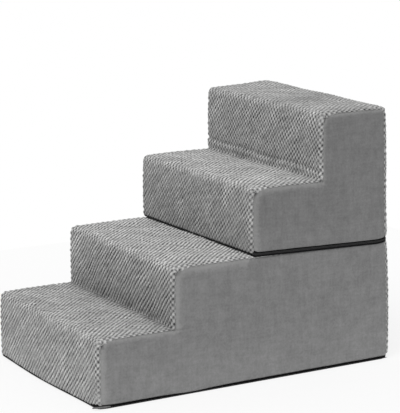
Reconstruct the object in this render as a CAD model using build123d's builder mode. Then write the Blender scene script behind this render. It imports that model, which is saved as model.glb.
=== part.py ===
"""Foam pet stairs in two stacking sections, each two steps high.

Each section is a stack of foam slabs in a zipped cover. A bumpy strip runs over risers, treads and back,
two smooth panels close the sides, and a black grip base is held on by a zip round three sides.
X is the width, +Y points to the back and +Z up. The origin is the bottom centre of the lower section.
"""

import os
from dataclasses import dataclass

from build123d import *

# Steps, in millimetres
body_width = 470.0
first_riser = 148.0
second_riser = 130.0
third_riser = 144.0
fourth_riser = 144.8
first_tread = 177.0
second_tread = 190.0
third_tread = 176.0
fourth_tread = 177.0
upper_setback = 5.0
lower_back_lean = 9.0
upper_back_lean = 4.0

# Cover
cover_thickness = 4.0
nosing_radius = 13.0
inner_corner_radius = 5.0
side_edge_radius = 8.5
tread_crown = 2.0
riser_crown = 2.5
side_puff = 2.0
side_puff_edge = 3.5
seam_gap = 0.3
fit_gap = 0.3
outline_skirt = 20.0

# Foam
tread_pad_thickness = 20.0

# Grip base
base_thickness = 1.5
dot_height = 0.8
dot_radius = 3.0
dot_pitch = 42.0
dot_margin = 25.0

# Hook and loop strips between the sections
fastener_width = 38.0
fastener_thickness = 1.5
fastener_centre = 158.0
fastener_end_margin = 30.0

# Zip
tape_thickness = 0.8
tape_overlap = 9.0
coil_width = 2.0
coil_thickness = 1.8
coil_slit = 1.4
zip_running_gap = 0.3
zip_shoulder_gap = 0.5
zip_back_allowance = 0.9
stop_length = 3.0
stop_thickness = 1.4
stop_gap = 0.5

# Zip slider and its pull
plate_thickness = 0.9
slider_width = 8.0
slider_length = 10.0
slider_tail_width = 5.6
slider_shoulder_length = 6.0
slider_lip_width = 0.8
neck_length = 3.0
neck_width = 0.8
bail_width = 1.8
bail_thickness = 0.8
bail_length = 8.4
bail_post_length = 1.0
bail_height = 1.9
bar_radius = 0.55
pull_thickness = 1.2
pull_width = 6.0
pull_length = 22.0
pull_window_length = 5.2
pull_arm_width = 1.0
pull_hole_radius = 1.5
pull_end_round = 2.4
slider_park_gap = 1.0

# Every cut runs this far past what it cuts
overrun = 5.0

half_width = body_width / 2
inner_half_width = half_width - cover_thickness
foam_inset = cover_thickness + fit_gap
lower_depth = first_tread + second_tread + third_tread + fourth_tread + upper_setback + lower_back_lean
stack_gap = 2 * fastener_thickness - dot_height
tape_x = inner_half_width - tape_thickness / 2
tape_corner_radius = side_edge_radius - cover_thickness - tape_thickness / 2
coil_half_slit = coil_slit / 2
coil_edge = coil_half_slit + coil_width
slider_half_gap = coil_thickness / 2 + zip_running_gap
slider_half_thickness = slider_half_gap + plate_thickness
lip_height = slider_half_gap - tape_thickness / 2 - zip_running_gap
bar_height = slider_half_thickness + bail_height / 2


@dataclass
class Section:
    """One stacking section, with its name and the places of its faces."""

    name: str
    front: float
    riser: float
    back_top: float
    back_bottom: float
    floor: float
    tread: float
    top: float
    top_crown: float

    @property
    def base_under(self):
        return self.floor + dot_height

    @property
    def base_top(self):
        return self.base_under + base_thickness

    @property
    def zip_height(self):
        return self.base_top + zip_shoulder_gap + slider_width / 2

    @property
    def hem(self):
        return self.zip_height + slider_width / 2 + zip_shoulder_gap

    @property
    def tape_top(self):
        return self.hem + tape_overlap

    @property
    def wrap_end(self):
        return self.front + side_edge_radius

    @property
    def tape_back(self):
        return self.back_bottom - cover_thickness - zip_back_allowance - tape_thickness / 2

    @property
    def stop_start(self):
        return self.wrap_end + stop_gap

    @property
    def coil_start(self):
        return self.stop_start + stop_length + stop_gap

    @property
    def slider_y(self):
        return self.coil_start + slider_length / 2 + slider_park_gap


lower_front = (riser_crown - lower_depth) / 2
lower_riser = lower_front + first_tread
lower_top = first_riser + second_riser
upper_front = lower_riser + second_tread
upper_riser = upper_front + third_tread
upper_back = upper_riser + fourth_tread
upper_floor = lower_top + stack_gap

lower = Section(
    name="lower",
    front=lower_front,
    riser=lower_riser,
    back_top=lower_front + lower_depth - lower_back_lean,
    back_bottom=lower_front + lower_depth,
    floor=0.0,
    tread=first_riser,
    top=lower_top,
    top_crown=0.0,
)
upper = Section(
    name="upper",
    front=upper_front,
    riser=upper_riser,
    back_top=upper_back - upper_back_lean,
    back_bottom=upper_back,
    floor=upper_floor,
    tread=upper_floor + third_riser,
    top=upper_floor + third_riser + fourth_riser,
    top_crown=tread_crown,
)


def side_view(section, inset=0.0):
    """Side view of a section, each of its faces set in by inset.

    Treads and risers are slightly crowned, and the outline runs on below the floor by outline_skirt,
    so that each part can be trimmed to a lower edge of its own.
    """
    s = section
    low = s.floor - outline_skirt
    front = s.front + inset
    riser = s.riser + inset
    tread = s.tread - inset
    top = s.top - inset
    back_top = s.back_top - inset
    lean = (s.back_bottom - s.back_top) / (s.top - s.floor)
    back_low = s.back_bottom + lean * outline_skirt - inset
    with BuildSketch(Plane.YZ) as view:
        with BuildLine():
            ThreePointArc((front, low), (front - riser_crown, (low + tread) / 2), (front, tread))
            ThreePointArc((front, tread), ((front + riser) / 2, tread + tread_crown), (riser, tread))
            ThreePointArc((riser, tread), (riser - riser_crown, (tread + top) / 2), (riser, top))
            if s.top_crown:
                ThreePointArc((riser, top), ((riser + back_top) / 2, top + s.top_crown), (back_top, top))
            else:
                Line((riser, top), (back_top, top))
            Line((back_top, top), (back_low, low))
            Line((back_low, low), (front, low))
        make_face()
        corners = view.vertices()
        nosings = [
            corners.sort_by_distance(place)[0] for place in ((front, tread), (riser, top), (back_top, top))
        ]
        fillet(nosings, nosing_radius - inset)
        fillet(view.vertices().sort_by_distance((riser, tread))[0], inner_corner_radius + inset)
    return view.sketch


def rounded_block(section, inset):
    """The section as one solid set in by inset, its side edges rounded like the stretched cover."""
    with BuildPart() as block:
        extrude(side_view(section, inset), amount=half_width - inset, both=True)
        bottom = block.faces().sort_by(Axis.Z)[0]
        ends = block.faces().filter_by(Axis.X).edges()
        fillet(ends - bottom.edges(), side_edge_radius - inset)
    return block.part


def tread_cover(section):
    """The bumpy strip over risers, treads and back, wrapped round the side edges as far as the seam."""
    s = section
    with BuildPart() as strip:
        add(rounded_block(s, 0.0))
        add(rounded_block(s, cover_thickness), mode=Mode.SUBTRACT)
        extrude(side_view(s, side_edge_radius), amount=half_width + overrun, both=True, mode=Mode.SUBTRACT)
        split(bisect_by=Plane.XY.offset(s.base_under), keep=Keep.TOP)
        with BuildSketch(Plane.YZ) as below_hem:
            with Locations((s.wrap_end, s.hem)):
                Rectangle(
                    s.back_bottom - s.wrap_end + overrun,
                    s.hem - s.floor + overrun,
                    align=(Align.MIN, Align.MAX),
                )
        extrude(below_hem.sketch, amount=half_width + overrun, both=True, mode=Mode.SUBTRACT)
    return strip.part


def side_cover(section, side):
    """A smooth side panel, sewn inside the strip's edge and puffed out a little; side is -1 or 1."""
    s = section
    with BuildPart() as panel:
        face = side_view(s, side_edge_radius + seam_gap)
        extrude(
            face.moved(Location((side * inner_half_width, 0, 0))),
            amount=cover_thickness + side_puff,
            dir=(side, 0, 0),
        )
        split(bisect_by=Plane.XY.offset(s.hem), keep=Keep.TOP)
        outer = panel.faces().sort_by(Axis.X)[-1 if side > 0 else 0]
        fillet(outer.edges(), side_puff_edge)
    return panel.part


def foam_slab(section, low, high, front=None, back=None):
    """The foam core between two heights and, where they are given, two places from front to back."""
    s = section
    start = s.front - overrun if front is None else front
    end = s.back_bottom + overrun if back is None else back
    with BuildPart() as slab:
        add(rounded_block(s, foam_inset))
        with BuildSketch(Plane.YZ) as window:
            with Locations((start, low)):
                Rectangle(end - start, high - low, align=(Align.MIN, Align.MIN))
        extrude(window.sketch, amount=half_width + overrun, both=True, mode=Mode.INTERSECT)
    return slab.part


def base_foam(section):
    """The bottom slab, stepped in round its lower edge to leave room for the zip."""
    s = section
    room = slider_half_thickness + fit_gap
    x = tape_x - room
    with BuildPart() as slab:
        add(foam_slab(s, s.base_top, s.tread - tread_pad_thickness))
        with BuildSketch(Plane.XY.offset(s.base_top)) as ring:
            with Locations((0, s.back_bottom + overrun)):
                Rectangle(body_width, lower_depth, align=(Align.CENTER, Align.MAX))
            with Locations((0, s.tape_back - room)):
                RectangleRounded(
                    2 * x,
                    lower_depth + overrun,
                    tape_corner_radius - room,
                    align=(Align.CENTER, Align.MAX),
                    mode=Mode.SUBTRACT,
                )
        extrude(ring.sketch, amount=s.tape_top + fit_gap - s.base_top, mode=Mode.SUBTRACT)
    return slab.part


def zip_band(section, start, low, high, width):
    """A band of this width that follows the zip between two heights."""
    s = section
    with BuildPart() as band:
        with BuildSketch(Plane.XY.offset(low)):
            with BuildLine():
                FilletPolyline(
                    (tape_x, start),
                    (tape_x, s.tape_back),
                    (-tape_x, s.tape_back),
                    (-tape_x, start),
                    radius=tape_corner_radius,
                )
            trace(line_width=width)
        extrude(amount=high - low)
    return band.part


def zip_coil(section):
    """Both halves of the coil, with the slit between them that the slider's neck runs in."""
    s = section
    with BuildPart() as coil:
        for low in (coil_half_slit, -coil_edge):
            start = s.zip_height + low
            add(zip_band(s, s.coil_start, start, start + coil_width, coil_thickness))
    return coil.part


def zip_stops(section):
    """Two stops clamped on the left ends of the coil, and one across both ends on the right."""
    s = section
    middle = s.stop_start + stop_length / 2
    with BuildPart() as stops:
        with Locations(
            (-tape_x, middle, s.zip_height + coil_half_slit + coil_width / 2),
            (-tape_x, middle, s.zip_height - coil_half_slit - coil_width / 2),
        ):
            Box(stop_thickness, stop_length, coil_width)
        with Locations((tape_x, middle, s.zip_height)):
            Box(stop_thickness, stop_length, 2 * coil_edge)
    return stops.part


def base_panel(section, keep_clear=()):
    """The grip base inside the zip, with round dots printed under it.

    keep_clear lists the centre and width of each fastener strip, where no dots are printed.
    """
    s = section
    inner_x = tape_x - tape_thickness / 2
    inner_back = s.tape_back - tape_thickness / 2
    depth = inner_back - s.front - cover_thickness
    columns = int((inner_x - dot_margin) / dot_pitch)
    rows = int((depth / 2 - dot_margin) / dot_pitch)
    centre = inner_back - depth / 2
    places = [dot_pitch * column for column in range(-columns, columns + 1)]
    for x, width in keep_clear:
        places = [place for place in places if abs(abs(place) - x) > width / 2 + dot_radius + fit_gap]
    dots = [(x, centre + dot_pitch * row) for x in places for row in range(-rows, rows + 1)]
    with BuildPart() as panel:
        with BuildSketch(Plane.XY.offset(s.base_under)):
            with Locations((0, inner_back)):
                RectangleRounded(
                    2 * inner_x,
                    depth,
                    tape_corner_radius - tape_thickness / 2,
                    align=(Align.CENTER, Align.MAX),
                )
        extrude(amount=base_thickness)
        with BuildSketch(Plane.XY.offset(s.floor)):
            with Locations(*dots):
                Circle(dot_radius)
        extrude(amount=dot_height)
    return panel.part


def fastener_strips(under):
    """Two strips of hook or loop tape that lie from front to back where the sections meet."""
    front = upper.front + fastener_end_margin
    back = upper.back_top - fastener_end_margin
    with BuildPart() as strips:
        with BuildSketch(Plane.XY.offset(under)):
            with Locations((fastener_centre, front), (-fastener_centre, front)):
                Rectangle(fastener_width, back - front, align=(Align.CENTER, Align.MIN))
        extrude(amount=fastener_thickness)
    return strips.part


def zip_slider(section):
    """The slider: two plates on a neck, lips that steer the coil, and the arch that holds the pull."""
    s = section
    back = slider_length / 2
    shoulder = slider_shoulder_length - back
    seat = Plane(origin=(-tape_x, s.slider_y, s.zip_height), x_dir=(0, 1, 0), z_dir=(-1, 0, 0))
    with BuildPart() as slider:
        for height in (slider_half_gap, -slider_half_thickness):
            with BuildSketch(seat.offset(height)):
                with BuildLine():
                    Polyline(
                        (-back, -slider_width / 2),
                        (shoulder, -slider_width / 2),
                        (back, -slider_tail_width / 2),
                        (back, slider_tail_width / 2),
                        (shoulder, slider_width / 2),
                        (-back, slider_width / 2),
                        close=True,
                    )
                make_face()
            extrude(amount=plate_thickness)
        for height in (slider_half_gap - lip_height, -slider_half_gap):
            with BuildSketch(seat.offset(height)):
                for side in (-1, 1):
                    with Locations((-back, side * (slider_width - slider_lip_width) / 2)):
                        Rectangle(slider_shoulder_length, slider_lip_width, align=(Align.MIN, Align.CENTER))
            extrude(amount=lip_height)
        with BuildSketch(seat.offset(-slider_half_gap)):
            with Locations((-back, 0)):
                Rectangle(neck_length, neck_width, align=(Align.MIN, Align.CENTER))
        extrude(amount=2 * slider_half_gap)
        with BuildSketch(seat.offset(slider_half_thickness)):
            for side in (-1, 1):
                with Locations((side * (bail_length - bail_post_length) / 2, 0)):
                    Rectangle(bail_post_length, bail_width)
        extrude(amount=bail_height)
        with BuildSketch(seat.offset(slider_half_thickness + bail_height)):
            Rectangle(bail_length, bail_width)
        extrude(amount=bail_thickness)
    return slider.part


def zip_pull(section):
    """The pull tab: a round bar held under the slider's arch, two arms, and a tab with a hole in it."""
    s = section
    seat = Plane(origin=(-tape_x, s.slider_y, s.zip_height), x_dir=(0, 1, 0), z_dir=(-1, 0, 0))
    opening = pull_width - 2 * pull_arm_width
    with BuildPart() as pull:
        with BuildSketch(seat.offset(bar_height - pull_thickness / 2)) as tab:
            with Locations((-bar_radius, 0)):
                Rectangle(pull_length, pull_width, align=(Align.MIN, Align.CENTER))
                Rectangle(
                    pull_window_length + bar_radius,
                    opening,
                    align=(Align.MIN, Align.CENTER),
                    mode=Mode.SUBTRACT,
                )
            fillet(tab.vertices().group_by(Axis.X)[-1], pull_end_round)
            with Locations((pull_length - bar_radius - pull_width / 2, 0)):
                Circle(pull_hole_radius, mode=Mode.SUBTRACT)
        extrude(amount=pull_thickness)
        bar = Plane(origin=(-tape_x - bar_height, s.slider_y, s.zip_height - opening / 2 - bar_radius))
        with BuildSketch(bar):
            Circle(bar_radius)
        extrude(amount=opening + 2 * bar_radius)
    return pull.part


nodes = {
    "lower_loop_strips": fastener_strips(lower.top),
    "upper_hook_strips": fastener_strips(upper.base_under - fastener_thickness),
}
for section in (lower, upper):
    s = section
    joint = s.riser + foam_inset - riser_crown - seam_gap
    under_pads = s.tread - tread_pad_thickness
    top_pad = s.top - tread_pad_thickness
    above = s.top + overrun
    fasteners = [(fastener_centre, fastener_width)] if section is upper else []
    pieces = {
        "base_foam": base_foam(s),
        "tread_pad_front": foam_slab(s, under_pads, above, back=joint),
        "riser_foam": foam_slab(s, under_pads, top_pad, front=joint),
        "tread_pad_rear": foam_slab(s, top_pad, above, front=joint),
        "tread_cover": tread_cover(s),
        "side_cover_left": side_cover(s, -1),
        "side_cover_right": side_cover(s, 1),
        "base_panel": base_panel(s, fasteners),
        "zipper_tape_top": zip_band(s, s.wrap_end, s.zip_height + coil_edge, s.tape_top, tape_thickness),
        "zipper_tape_base": zip_band(s, s.wrap_end, s.base_under, s.zip_height - coil_edge, tape_thickness),
        "zipper_coil": zip_coil(s),
        "zipper_stops": zip_stops(s),
        "zipper_slider": zip_slider(s),
        "zipper_pull": zip_pull(s),
    }
    for word, piece in pieces.items():
        nodes[f"{s.name}_{word}"] = piece

os.makedirs("parts", exist_ok=True)
for label, piece in nodes.items():
    piece.label = label
    export_step(piece, f"parts/{label}.step")
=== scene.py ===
"""Pet stairs in two stacking sections: bubble plush over the steps, velour sides, zips and a grip base.

Lengths are in metres. X is the width, +Y points to the back and +Z up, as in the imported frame.
"""

import math
from functools import partial
from types import SimpleNamespace

import bpy
import numpy as np
from mathutils import Matrix, Vector

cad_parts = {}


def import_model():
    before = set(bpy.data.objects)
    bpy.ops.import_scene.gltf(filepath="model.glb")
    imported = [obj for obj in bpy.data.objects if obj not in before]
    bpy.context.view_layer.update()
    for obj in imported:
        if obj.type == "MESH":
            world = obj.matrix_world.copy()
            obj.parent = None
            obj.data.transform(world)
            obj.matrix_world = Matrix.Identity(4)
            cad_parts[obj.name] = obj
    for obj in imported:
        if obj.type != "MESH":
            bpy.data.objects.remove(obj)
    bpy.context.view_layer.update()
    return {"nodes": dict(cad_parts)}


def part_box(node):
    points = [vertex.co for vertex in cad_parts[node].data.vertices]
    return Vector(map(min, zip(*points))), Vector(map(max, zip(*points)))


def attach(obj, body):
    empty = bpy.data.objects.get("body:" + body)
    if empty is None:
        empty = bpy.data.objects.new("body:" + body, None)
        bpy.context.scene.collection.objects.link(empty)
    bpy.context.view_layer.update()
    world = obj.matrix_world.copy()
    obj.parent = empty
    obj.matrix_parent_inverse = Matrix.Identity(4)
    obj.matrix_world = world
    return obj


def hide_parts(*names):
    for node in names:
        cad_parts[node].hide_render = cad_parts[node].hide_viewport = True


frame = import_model()

mm = 0.001

# Allowances that the frame's pieces were made with
riser_crown = 2.5 * mm
tread_crown = 2.0 * mm
riser_foam_setback = 1.5 * mm
tread_pad_thickness = 20.0 * mm
back_lean = {"lower": 9.0 * mm, "upper": 4.0 * mm}
nosing_radius = 13.0 * mm
inner_corner_radius = 5.0 * mm

# The foam's own shape, under the plush and the side panels alike
edge_crown_share = 0.45
back_crown = 3.0 * mm
front_bulge = 8.0 * mm
front_bulge_left = 30.0 * mm
front_bulge_span = 520.0 * mm
corner_draw = 0.8 * mm
top_rise = 6.0 * mm
top_rise_reach = 60.0 * mm
back_flare = 6.0 * mm
back_flare_reach = 90.0 * mm
back_flare_from = 60.0 * mm
back_flare_width = 150.0 * mm
hem_reach = 60.0 * mm

# Plush strip: how it wraps round the sides and tucks into the seams, and how its free ends lie
wrap_width = 7.5 * mm
riser_wrap = 7.5 * mm
tread_wrap = 4.5 * mm
nosing_wrap = 4.7 * mm
nosing_reach = 12.0 * mm
nosing_slope = 0.17
nosing_run = 32.0 * mm
tuck_radius = 2.0 * mm
tuck_turn = 1.3
seam_fade = 7.0 * mm
plush_bottom = 3.4 * mm
cut_edge_roll = 3.0 * mm
cut_edge_drop = 2.5 * mm
corner_lift = 6.0 * mm
corner_lift_from = 190.0 * mm
corner_lift_width = 45.0 * mm
corner_lift_height = 40.0 * mm

# Plush strip: its embossed bubbles
cell_across = 11.8 * mm
cell_along = 13.2 * mm
steps_per_cell = 5
bubble_height = 2.8 * mm
bubble_fullness = 0.85
seam_relief = 0.35
pressed_share = 0.45
cloth_shear = {"lower": 0.0, "upper": -0.09}

# Plush strip: the crease across the foot of the last riser, and the roll under it, in widths of the crease
fold_depth = 2.4 * mm
fold_width = 4.5 * mm
fold_height = 21.0 * mm
fold_slope = 0.02
fold_roll_share = 0.7
fold_roll_below = 2.2
fold_roll_width = 1.6

# Plush strip: how strongly its colour shows each of the two crossed waves, on the five faces from the front,
# which sets the bubbles' painted shade and light face by face
wave_by_face = {
    "rising": {"lower": (0.55, 1.4, 0.55, 1.7, 0.8), "upper": (0.6, 1.5, 1.0, 1.1, 0.8)},
    "falling": {"lower": (1.05, 1.0, 1.45, 0.8, 0.8), "upper": (0.85, 1.0, 0.95, 0.9, 0.8)},
}
seam_wave = 0.8
seam_wave_reach = 34.0 * mm
face_blend = 12.0 * mm

# Plush strip: painted light and shade, where 1 is its own colour: face by face, at the inner corners, at the
# upper section's foot, over the nosings and in the seams there, and on the left of the lower section's riser
face_light = {"lower": (1.0, 1.0, 1.0, 1.12, 1.0), "upper": (1.0, 1.08, 1.0, 0.95, 1.0)}
tread_foot_shade = {"lower": 0.5, "upper": 0.25}
tread_foot_reach = 14.0 * mm
# Painted shade at the riser's foot; below zero it is painted light
riser_foot_shade = {"lower": 0.22, "upper": -0.12}
riser_foot_reach = 60.0 * mm
hem_foot_shadow = {"lower": 0.0, "upper": 0.16}
riser_left_light = 0.3
left_pale_foot = 8.0 * mm
left_pale_top = 25.0 * mm
nosing_highlight = 0.08
nosing_fade = 15.0 * mm
seam_shade_at_nosings = 2.0

# Patches where the nap is brushed open, or flat where the last number is below zero: after which face's
# start, at what x, how far beyond that start, half their size both ways, and how much
brushed = {
    "lower": (),
    "upper": (
        (0, -54 * mm, 41 * mm, 18 * mm, 24 * mm, 1.0),
        (0, 134 * mm, 105 * mm, 13 * mm, 30 * mm, 1.0),
        (0, 96 * mm, 19 * mm, 18 * mm, 14 * mm, 0.7),
        (1, 150 * mm, 70 * mm, 45 * mm, 22 * mm, 0.8),
        (3, 60 * mm, 80 * mm, 45 * mm, 70 * mm, -0.8),
    ),
}
brushed_pale = 0.2
brushed_wave = 0.8

# Side panels: their grid of lines, their outline and how they stand out
front_columns = 56
rear_column_step = 6.0 * mm
rows_below_tread = 52
rows_above_tread = 48
panel_under_strip = 1.2 * mm
panel_edge_reach = 40.0 * mm
panel_seam_depth = 4.2 * mm
panel_rise = 5.0 * mm
rim_radius = 11.0 * mm
corner_round = 26.0 * mm
back_round = 12.0 * mm
panel_puff = 1.0 * mm
puff_from_seam = 60.0 * mm
puff_from_hem = 40.0 * mm
hem_radius = 3.0 * mm
hem_flare = 2.6 * mm
flare_height = 40.0 * mm
flare_from_seam = 14.0 * mm
flared_roll = 0.2

# Side panels: creases at the inner corner, each with its start from there, heading, length, width and depth,
# and the ridge below each, in widths and depths of the crease
panel_creases = {
    "lower": (((-2 * mm, -3 * mm), 0.0, 48 * mm, 2.6 * mm, 2.3 * mm),),
    "upper": (((1 * mm, -2 * mm), -math.pi / 2, 26 * mm, 2.4 * mm, 1.8 * mm),),
}
ridge_below = 1.8
ridge_share = 0.45

# Side panels: their painted shade, darker on the upper section, and painted light low down; the width of the
# pale rim, a painted highlight, along the front and the rear step; and the painted shade at the nosings
panel_shade = {"lower": 1.0, "upper": 0.92}
panel_low_light = {"lower": 0.12, "upper": 0.02}
low_pale_reach = 130.0 * mm
riser_rim = {"lower": (15.0 * mm, 15.0 * mm), "upper": (15.0 * mm, 6.5 * mm)}
tread_rim = {"lower": (10.0 * mm, 16.0 * mm), "upper": (13.0 * mm, 9.0 * mm)}
rim_corner = {"lower": (2.2, 2.2), "upper": (2.2, 4.0)}
rim_plateau = 0.35
rim_end = 3.0
rim_end_fade = 15.0 * mm
pinch_shade = 0.75
pinch_level = 0.75
pinch_width = 6.0 * mm
pinch_reach = 24.0 * mm

# Lower right hem: its height, its dip, and its rise towards the front corner
hem_height = 6.5 * mm
hem_dip = 3.0 * mm
hem_dip_y = -140.0 * mm
hem_dip_width = 50.0 * mm
hem_rise = 5.0 * mm
hem_rise_reach = 14.0 * mm

# Slow seeded waves: how high each is, about how long, and its seed, and in the panels' how far from the seam
# it is full
stray_across = ((1.6 * mm, 95.0 * mm, 3), (0.5 * mm, 31.0 * mm, 8))
stray_along = ((1.6 * mm, 80.0 * mm, 4), (0.5 * mm, 29.0 * mm, 9))
bubble_wave = (0.3, 17.0 * mm, 5)
plush_wave = (0.9 * mm, 150.0 * mm, 6)
fold_wave = (3.0 * mm, 130.0 * mm, 12)
strength_wave = {"rising": (0.4, 55.0 * mm, 41), "falling": (0.4, 55.0 * mm, 42)}
panel_waves = ((0.45 * mm, 110.0 * mm, 21, 25.0 * mm), (0.3 * mm, 34.0 * mm, 31, 15.0 * mm))
pinch_wave = (1.0, 12.0 * mm, 51)

# Zip, and how its band hangs under the upper section's right side
tape_thickness = 0.8 * mm
tape_step = 3.0 * mm
tape_setback = 4.0 * mm
tape_side_power = 0.5
tape_edge_power = 0.7
zip_corner = 4.1 * mm
sag_start = 5.5 * mm
sag_slope = 0.0285
sag_end = 85.0 * mm
sag_before_corner = 30.0 * mm
side_hang_out = 6.8 * mm
back_hang_out = 11.4 * mm
hang_start = 14.0 * mm
hang_turn = 16.0 * mm
hang_bend = 0.8
closing_drop = 3.0 * mm
coil_pitch = 2.4 * mm
coil_around = 8
coil_along = 5
coil_half_width = 0.9 * mm
coil_half_height = 1.0 * mm
coil_turn_share = 0.18
coil_closing = 0.6 * mm
coil_setback = 5.0 * mm

# Lining behind the zip
zip_room = 2.4 * mm
foam_step = 10.0 * mm
lining_thickness = 0.12 * mm
lining_gap = 0.1 * mm
lining_front_gap = 0.25 * mm
lining_back_gap = 0.06 * mm
lining_inset = 0.3 * mm
lining_wrap = 70.0 * mm

# Loose hem end at the lower front right corner: its route from that corner, and half its section
tab_route = np.array([(1.0, 30, 4.4), (2.2, 16, 5.4), (2.0, 3, 6.2), (-0.5, -6, 6.4), (-4.5, -10, 5.4)]) * mm
tab_half_width = 0.9 * mm
tab_half_height = 1.9 * mm

# Binding of the grip base: half its section at the front and at the sides, and where its middle lies
binding_thickness = {"lower": 3.0 * mm, "upper": 4.4 * mm}
binding_half_width = 2.8 * mm
binding_setback = 2.6 * mm
binding_clearance = 0.7 * mm
binding_end = 3.0 * mm
side_binding = (1.4 * mm, 1.5 * mm)
side_binding_inset = 0.6 * mm
side_binding_height = 1.9 * mm
side_binding_end = 5.0 * mm


def ramp(t):
    """A smooth step from 0 to 1 as t goes from 0 to 1."""
    t = np.clip(t, 0, 1)
    return t * t * (3 - 2 * t)


def grown(distance, reach):
    """A straight rise from 0 at no distance to 1 at this reach and beyond."""
    return np.clip(distance / reach, 0, 1)


def faded(distance, reach):
    """A straight fade from 1 at no distance to 0 at this reach and beyond."""
    return np.clip(1 - distance / reach, 0, 1)


def arched(place, low, high):
    """A parabola over a run: 1 in its middle, and 0 at both ends and beyond."""
    return 1 - np.clip((2 * place - low - high) / (high - low), -1, 1) ** 2


def quarter_round(distance, radius):
    """A quarter circle's rise, from 0 at the edge to 1 a radius inside."""
    return np.sqrt(1 - faded(distance, radius) ** 2)


def graded(start, end, count, pull=0.8):
    """Places from start to end that draw together near both ends, along a cosine."""
    t = np.linspace(0, 1, count)
    return start + (end - start) * ((1 - pull) * t + pull * (1 - np.cos(np.pi * t)) / 2)


def round_least(a, b, radius):
    """The depth inside a corner, from the depths inside its two edges: its lines are arcs of this radius."""
    return np.where((a < radius) & (b < radius), radius - np.hypot(radius - a, radius - b), np.minimum(a, b))


def ripple(a, b, height, length, seed):
    """Smooth seeded waves over two coordinates, about this high either way and about this long.

    The sum of a few sines whose directions, phases and lengths come from the seed.
    """
    sines, usual_peak = 7, 1.5
    rng = np.random.default_rng(seed)
    total = np.zeros(np.broadcast(a, b).shape)
    for heading, phase, stretch in rng.uniform((0, 0, 0.7), (2 * np.pi, 2 * np.pi, 1.5), (sines, 3)):
        along = a * np.cos(heading) + b * np.sin(heading)
        total = total + np.sin(2 * np.pi * along / (length * stretch) + phase)
    return height * total / (np.sqrt(sines) * usual_peak)


def rounded_path(corners, radii, step):
    """A plane path of straight runs whose corners are arcs, sampled evenly.

    Gives its points, the normals on its left, the distance along it, its bulge, which is arched over each run
    and zero on arcs, its miter, the growth of an offset to the right that keeps a left-hand arc's far side
    square, and the distance to the middle of each arc.
    """
    slack = 1e-9
    corners = np.asarray(corners, float)
    radii = np.asarray(radii, float)
    runs = np.diff(corners, axis=0)
    lengths = np.linalg.norm(runs, axis=1)
    ways = runs / lengths[:, None]
    headings = np.unwrap(np.arctan2(ways[:, 1], ways[:, 0]))
    turns = np.diff(headings)
    cuts = radii * np.tan(np.abs(turns) / 2)
    starts = np.concatenate([[0.0], cuts])
    ends = np.concatenate([cuts, [0.0]])
    pieces = []
    for i in range(len(runs)):
        pieces.append(("run", i, lengths[i] - starts[i] - ends[i]))
        if i < len(turns):
            pieces.append(("arc", i, radii[i] * abs(turns[i])))
    marks = np.concatenate([[0.0], np.cumsum([size for _, _, size in pieces])])
    place = np.linspace(0.0, marks[-1], int(round(marks[-1] / step)) + 1)
    points = np.zeros((len(place), 2))
    angle = np.zeros(len(place))
    bulge = np.zeros(len(place))
    miter = np.ones(len(place))
    arcs = [begin + size / 2 for (kind, _, size), begin in zip(pieces, marks) if kind == "arc"]
    for (kind, i, size), begin in zip(pieces, marks):
        here = (place >= begin - slack) & (place <= begin + size + slack)
        along = place[here] - begin
        if kind == "run":
            points[here] = corners[i] + ways[i] * starts[i] + along[:, None] * ways[i]
            angle[here] = headings[i]
            bulge[here] = arched(along, 0, size)
            continue
        side = np.sign(turns[i])
        left = np.array([-ways[i][1], ways[i][0]])
        middle = corners[i + 1] - ways[i] * cuts[i] + left * side * radii[i]
        turned = side * along / radii[i]
        angle[here] = headings[i] + turned
        spoke = np.stack([np.sin(angle[here]), -np.cos(angle[here])], 1) * side
        points[here] = middle + spoke * radii[i]
        if side > 0:
            near = np.minimum(np.abs(turned), np.abs(turns[i]) - np.abs(turned))
            miter[here] = 1 / np.cos(near)
    normals = np.stack([-np.sin(angle), np.cos(angle)], 1)
    return SimpleNamespace(points=points, normals=normals, along=place, bulge=bulge, miter=miter, arcs=arcs)


def new_mesh(name, points, groups, material, values=None):
    """A smooth mesh object from points and groups of faces, each an array of faces with as many corners.

    values holds numbers at the points, or one number for them all.
    """
    mesh = bpy.data.meshes.new(name)
    corners = np.concatenate([faces.ravel() for faces in groups])
    sizes = np.concatenate([np.full(len(faces), faces.shape[1]) for faces in groups])
    mesh.vertices.add(len(points))
    mesh.vertices.foreach_set("co", points.astype(np.float32).ravel())
    mesh.loops.add(len(corners))
    mesh.loops.foreach_set("vertex_index", corners.astype(np.int32))
    mesh.polygons.add(len(sizes))
    mesh.polygons.foreach_set("loop_start", (np.cumsum(sizes) - sizes).astype(np.int32))
    mesh.update(calc_edges=True)
    mesh.polygons.foreach_set("use_smooth", np.ones(len(sizes), bool))
    mesh.validate()
    mesh.materials.append(material)
    for key, value in (values or {}).items():
        layer = mesh.attributes.new(key, "FLOAT", "POINT")
        layer.data.foreach_set("value", np.broadcast_to(value, len(points)).astype(np.float32))
    made = bpy.data.objects.new(name, mesh)
    bpy.context.scene.collection.objects.link(made)
    return made


def grid_mesh(name, points, material, values, keep=None, flip=False, uv=None):
    """A smooth mesh over a grid of points, rows by columns, with point values and maybe its own map.

    keep says which cells have a face, and flip turns the faces over.
    """
    rows, columns = points.shape[:2]
    index = np.arange(rows * columns).reshape(rows, columns)
    quads = np.stack([index[:-1, :-1], index[:-1, 1:], index[1:, 1:], index[1:, :-1]], -1)
    quads = quads[keep] if keep is not None else quads.reshape(-1, 4)
    if flip:
        quads = quads[:, ::-1]
    used, faces = np.unique(quads, return_inverse=True)
    faces = faces.reshape(-1, 4)
    values = {key: value.ravel()[used] for key, value in values.items()}
    made = new_mesh(name, points.reshape(-1, 3)[used], [faces], material, values)
    if uv is not None:
        layer = made.data.uv_layers.new(name="cloth")
        layer.data.foreach_set("uv", uv.reshape(-1, 2)[used][faces.ravel()].astype(np.float32).ravel())
    return made


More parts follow.
